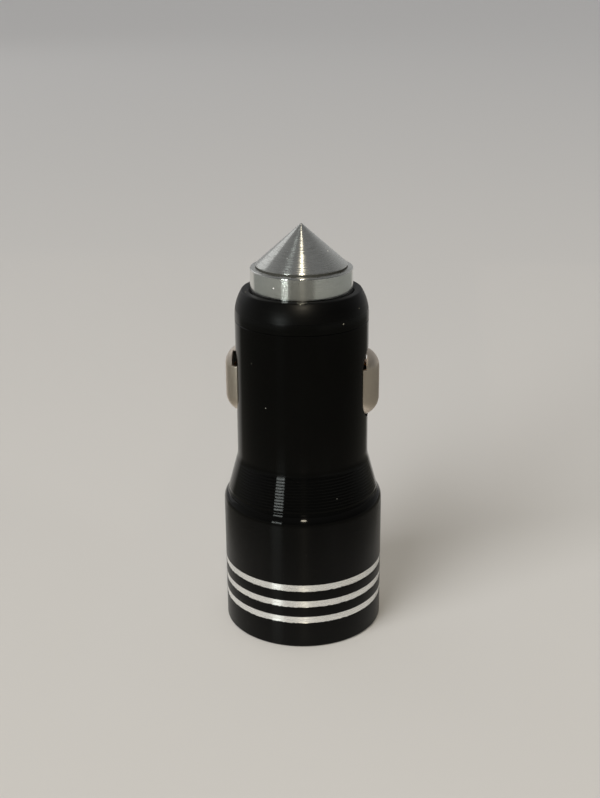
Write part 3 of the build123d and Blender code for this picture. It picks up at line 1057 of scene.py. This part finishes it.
# tinned sheet of the sockets, pale and bright
tinned = drawnMetal("tinned_steel_sheet", "#9a9c9c", "#bcbebe", 0.12, (1, 1, 0.06), 0.3)
for piece in usbMouths:
    dress(piece, tinned)
print("pieces dressed,", len(bpy.data.materials), "materials")


# Floor, painted shade sheets, room, lights and camera: metres and watts, and degrees to the right of the
# camera's side and above the floor

floorSheet = {"size": 30.0, "tone": "#d9d7d5", "roughness": 0.7}
# Angles in radians, focal length and frame in pixels, sensor in millimetres
camera = {
    "place": (0.01988, -0.1745, 0.10052),
    "down": 0.348,
    "turn": 0.1154464,
    "roll": -0.007,
    "focal": 1200,
    "frameHeight": 798,
    "sensor": 36,
    "clipStart": 0.01,
}

bpy.ops.object.select_all(action="DESELECT")
bpy.ops.mesh.primitive_plane_add(size=floorSheet["size"], location=(0, 0, 0))
floor = bpy.context.object
floor.name = "floor"
# Pale paper, smooth and matt: an even ground that takes a soft shadow
paper = bpy.data.materials.new("pale_paper")
paper.use_nodes = True
paperLook = {"Base Color": fromHex(floorSheet["tone"]), "Roughness": floorSheet["roughness"]}
fillSockets(paper.node_tree.nodes["Principled BSDF"], paperLook)
dress(floor, paper)


def sector(tree, side, turn, half):
    # One within the first angle of a direction, and nothing beyond the second
    turn = camera["turn"] + math.radians(turn)
    toward = (math.sin(turn), -math.cos(turn), 0)
    near = addNode(tree, "VectorMath", {0: side, 1: toward}, operation="DOT_PRODUCT").outputs["Value"]
    inner, outer = (math.cos(math.radians(angle)) for angle in half)
    return addNode(
        tree, "MapRange",
        {"Value": near, "From Min": outer, "From Max": inner},
        interpolation_type="SMOOTHSTEP",
    ).outputs[0]


# Painted shade for the gloss to mirror, on a dull sheet without gloss: dark, paler at the object's foot and
# further out, where a painted shadow lies straight in front, and fading to the floor's tone at its ends

shadeSheet = {
    "tone": "#6e6d68",
    "near": "#918f88",
    "nearFade": (0.05, 0.13),
    "far": "#9a9d9b",
    "farFade": (0.2, 0.215),
    "shade": "#6f706d",
    "shadeHalf": (20, 34),
    "endTurns": (-150, 168),
    "endHalf": (12, 26),
    "gap": 0.034,
    "back": 0.25,
    "reach": 0.9,
    "lift": 0.001,
}


def paintedShadeSheet():
    material, tree, shader, place = startMaterial("painted_shade_sheet")
    away = addNode(tree, "VectorMath", {0: place}, operation="LENGTH").outputs["Value"]
    side = addNode(tree, "VectorMath", {0: place}, operation="NORMALIZE").outputs["Vector"]
    start, end = shadeSheet["nearFade"]
    leaving = addNode(tree, "MapRange", {"Value": away, "From Min": start, "From Max": end})
    close = addNode(
        tree, "Mix",
        {0: leaving.outputs[0], 6: fromHex(shadeSheet["near"]), 7: fromHex(shadeSheet["tone"])},
        data_type="RGBA",
    )
    # painted shadow on the far part, in the way straight towards the camera
    shade = sector(tree, side, 0, shadeSheet["shadeHalf"])
    outer = addNode(
        tree, "Mix", {0: shade, 6: fromHex(shadeSheet["far"]), 7: fromHex(shadeSheet["shade"])}, data_type="RGBA"
    )
    start, end = shadeSheet["farFade"]
    far = addNode(tree, "MapRange", {"Value": away, "From Min": start, "From Max": end})
    tone = addNode(
        tree, "Mix", {0: far.outputs[0], 6: close.outputs[2], 7: outer.outputs[2]}, data_type="RGBA"
    )
    for turn in shadeSheet["endTurns"]:
        ending = sector(tree, side, turn, shadeSheet["endHalf"])
        tone = addNode(
            tree, "Mix", {0: ending, 6: tone.outputs[2], 7: fromHex(floorSheet["tone"])}, data_type="RGBA"
        )
    fillSockets(shader, {"Base Color": tone.outputs[2], "Roughness": 1.0, "IOR": 1.0})
    return material


# Painted shade on the floor in front of the object and beside it, out of the picture: sheets that only the
# gloss sees, so the shell mirrors them and stays black face on
shadeSheetFinish = paintedShadeSheet()
gap, reach, back = shadeSheet["gap"], shadeSheet["reach"], shadeSheet["back"]
for name, low, high in (
    ("shade_sheet_front", (-reach, -reach), (reach, -gap)),
    ("shade_sheet_left", (-reach, -gap), (-gap, back)),
    ("shade_sheet_right", (gap, -gap), (reach, back)),
):
    bpy.ops.object.select_all(action="DESELECT")
    middle = ((low[0] + high[0]) / 2, (low[1] + high[1]) / 2, shadeSheet["lift"])
    bpy.ops.mesh.primitive_plane_add(size=1, location=middle)
    shadePlane = bpy.context.object
    shadePlane.name = name
    shadePlane.scale = (high[0] - low[0], high[1] - low[1], 1)
    bpy.ops.object.transform_apply(location=True, rotation=True, scale=True)
    dress(shadePlane, shadeSheetFinish)
    shadePlane.visible_camera = shadePlane.visible_diffuse = shadePlane.visible_shadow = False

# A room that is brightest behind the object and to its left, dark behind the camera and dim overhead
room = {"front": 0.06, "back": 0.35, "top": 0.18, "turn": 22, "walls": (-0.6, 0.8), "ceiling": (0.15, 0.9)}
world = bpy.data.worlds.new("studio")
bpy.context.scene.world = world
world.use_nodes = True
air = world.node_tree
outward = addNode(air, "TexCoord").outputs["Generated"]
upward = addNode(air, "SeparateXYZ", {"Vector": outward}).outputs["Z"]
bright = math.radians(room["turn"])
brightSide = (-math.sin(bright), math.cos(bright), 0)
facing = addNode(air, "VectorMath", {0: outward, 1: brightSide}, operation="DOT_PRODUCT").outputs["Value"]
start, end = room["walls"]
walls = addNode(
    air, "MapRange",
    {"Value": facing, "From Min": start, "From Max": end, "To Min": room["front"], "To Max": room["back"]},
    interpolation_type="SMOOTHSTEP",
)
start, end = room["ceiling"]
overhead = addNode(air, "MapRange", {"Value": upward, "From Min": start, "From Max": end})
sky = addNode(air, "Mix", {0: overhead.outputs[0], 2: walls.outputs[0], 3: room["top"]}, data_type="FLOAT")
fillSockets(air.nodes["Background"], {"Color": (1, 1, 1, 1), "Strength": sky.outputs[0]})

# A wide sun lights the floor, in watts per square metre, and softboxes stand where the gloss shows them
daylight = {"turn": -40, "rise": 32, "away": 2.0, "spread": 42, "power": 2.2}
softboxes = {
    "window": {
        "turn": -37, "rise": 9.0, "away": 1.5, "size": (0.36, 0.2), "power": 3.5, "colour": "#f7fffb",
    },
    "lamp": {
        "turn": 1.2, "rise": 46.5, "away": 1.0, "size": (0.1, 0.17), "power": 3.4, "colour": "#fff4dc",
    },
    "card": {
        "turn": -140, "rise": 25, "away": 1.5, "size": (0.9, 0.8), "power": 0.9, "colour": "#ffffff",
    },
}


def addLight(name, kind, look):
    # Stands at its turn, rise and distance from the object, and faces it
    turn = camera["turn"] + math.radians(look["turn"])
    rise = math.radians(look["rise"])
    light = bpy.data.lights.new(name, kind)
    light.energy = look["power"]
    holder = bpy.data.objects.new(name, light)
    bpy.context.scene.collection.objects.link(holder)
    flat = look["away"] * math.cos(rise)
    holder.location = (flat * math.sin(turn), -flat * math.cos(turn), look["away"] * math.sin(rise))
    holder.rotation_euler = (math.pi / 2 - rise, 0, turn)
    holder.visible_camera = False
    return holder


sun = addLight("sun", "SUN", daylight)
sun.data.angle = math.radians(daylight["spread"])
sun.visible_glossy = False  # lights the floor, and leaves the gloss to the softboxes
for name, box in softboxes.items():
    light = addLight(name, "AREA", box).data
    light.shape = "RECTANGLE"
    light.size, light.size_y = box["size"]
    light.color = fromHex(box["colour"])[:3]

lens = bpy.data.cameras.new("camera")
lens.sensor_width = camera["sensor"]
lens.lens = camera["sensor"] * camera["focal"] / camera["frameHeight"]
lens.clip_start = camera["clipStart"]
eye = bpy.data.objects.new("camera", lens)
bpy.context.scene.collection.objects.link(eye)
eye.location = camera["place"]
eye.rotation_euler = (math.pi / 2 - camera["down"], 0, camera["turn"])
eye.rotation_euler.rotate_axis("Z", camera["roll"])
bpy.context.scene.camera = eye
bpy.context.scene.view_settings.view_transform = "Standard"
print("stage set")
